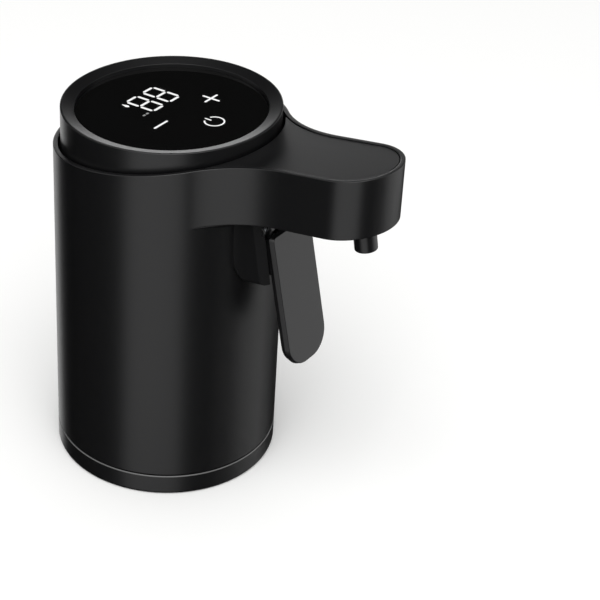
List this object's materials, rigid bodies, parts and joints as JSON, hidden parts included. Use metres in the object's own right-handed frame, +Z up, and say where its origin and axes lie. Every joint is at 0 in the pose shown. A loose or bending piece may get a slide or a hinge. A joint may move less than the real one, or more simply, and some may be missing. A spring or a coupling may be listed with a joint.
{
  "type": "electric drink dispenser",
  "caption": "Bottle-top electric drink dispenser: round body with a slanted pouring arm, touch display on top, paddle trigger under the arm and a roller pump inside.",
  "frame": {"origin": "on the axis of the round body and of the bottle collar, at the base's lower face", "axes": "+Z up along the body, +X along the pouring arm, +Y to the left of someone facing along the arm"},
  "size_m": [0.113, 0.07, 0.1245],
  "materials": {
    "satin_black": "satin moulded",
    "black_glass": "polished, black behind",
    "black_rubber": "matt",
    "dark_plastic": "matt moulded",
    "white_plastic": "satin",
    "silicone": "soft matt",
    "clear_plastic": "clear gloss",
    "board_green": "solder mask",
    "ribbon": "insulation",
    "steel": "plated",
    "rotor_metal": "machined",
    "cell_film": "shrink film",
    "switch_red": "moulded"
  },
  "bodies": {
    "housing": {"outer_shell": "satin_black", "arm_cover": "satin_black", "head_cap": "satin_black", "display_glass": "black_glass", "glass_gasket": "black_rubber", "light_guide": "white_plastic", "display_board": "board_green", "display_screws": "steel", "display_ribbon": "ribbon", "base_ring": "satin_black", "bottle_socket": "dark_plastic", "base_screws": "steel", "bottle_stopper": "silicone", "inlet_elbow": "clear_plastic", "inlet_hose": "silicone", "chassis": "dark_plastic", "chassis_screws": "steel", "pump_housing": "white_plastic", "pump_hose": "silicone", "pump_cover": "white_plastic", "pump_screws": "steel", "motor_can": "steel", "motor_end_cap": "white_plastic", "motor_leads": "ribbon", "battery": "cell_film", "battery_tray": "dark_plastic", "control_board": "board_green", "board_screws": "steel", "charge_board": "board_green", "usb_socket": "steel", "outlet_hose": "silicone", "nozzle": "satin_black", "nozzle_seal": "black_rubber", "trigger_bracket": "satin_black", "hinge_pin": "steel", "micro_switch": "switch_red"},
    "trigger": {"trigger_paddle": "satin_black", "return_spring": "steel"},
    "plunger": {"switch_plunger": "white_plastic"},
    "rotor": {"pump_rotor": "rotor_metal", "roller_pins": "steel", "motor_shaft": "steel"},
    "roller_a": {"roller_1": "white_plastic"},
    "roller_b": {"roller_2": "white_plastic"},
    "roller_c": {"roller_3": "white_plastic"}
  },
  "joints": [
    {"name": "trigger_pivot", "type": "hinge", "parent": "housing", "child": "trigger", "pos_m": [0.04034, 0, 0.09497], "axis": [0, 1, 0], "range_deg": [0, 7], "stiffness_Nm_per_rad": 0.06, "springref_deg": -11.46},
    {"name": "plunger_slide", "type": "slide", "parent": "housing", "child": "plunger", "axis": [-0.9848, 0, -0.1736], "range_m": [0, 0.0014]},
    {"name": "pump_spin", "type": "hinge", "parent": "housing", "child": "rotor", "pos_m": [0.003, 0, 0.051], "axis": [0, 0, 1], "continuous": true},
    {"name": "roller_a_spin", "type": "hinge", "parent": "rotor", "child": "roller_a", "pos_m": [0.01235, 0, 0.051], "axis": [0, 0, 1], "continuous": true},
    {"name": "roller_b_spin", "type": "hinge", "parent": "rotor", "child": "roller_b", "pos_m": [-0.00168, 0.0081, 0.051], "axis": [0, 0, 1], "continuous": true},
    {"name": "roller_c_spin", "type": "hinge", "parent": "rotor", "child": "roller_c", "pos_m": [-0.00168, -0.0081, 0.051], "axis": [0, 0, 1], "continuous": true}
  ],
  "couplings": [
    {"joint": "plunger_slide", "follows": "trigger_pivot", "m_per_rad": 0.011},
    {"joint": "roller_a_spin", "follows": "pump_spin", "ratio": -3.6667},
    {"joint": "roller_b_spin", "follows": "pump_spin", "ratio": -3.6667},
    {"joint": "roller_c_spin", "follows": "pump_spin", "ratio": -3.6667}
  ]
}
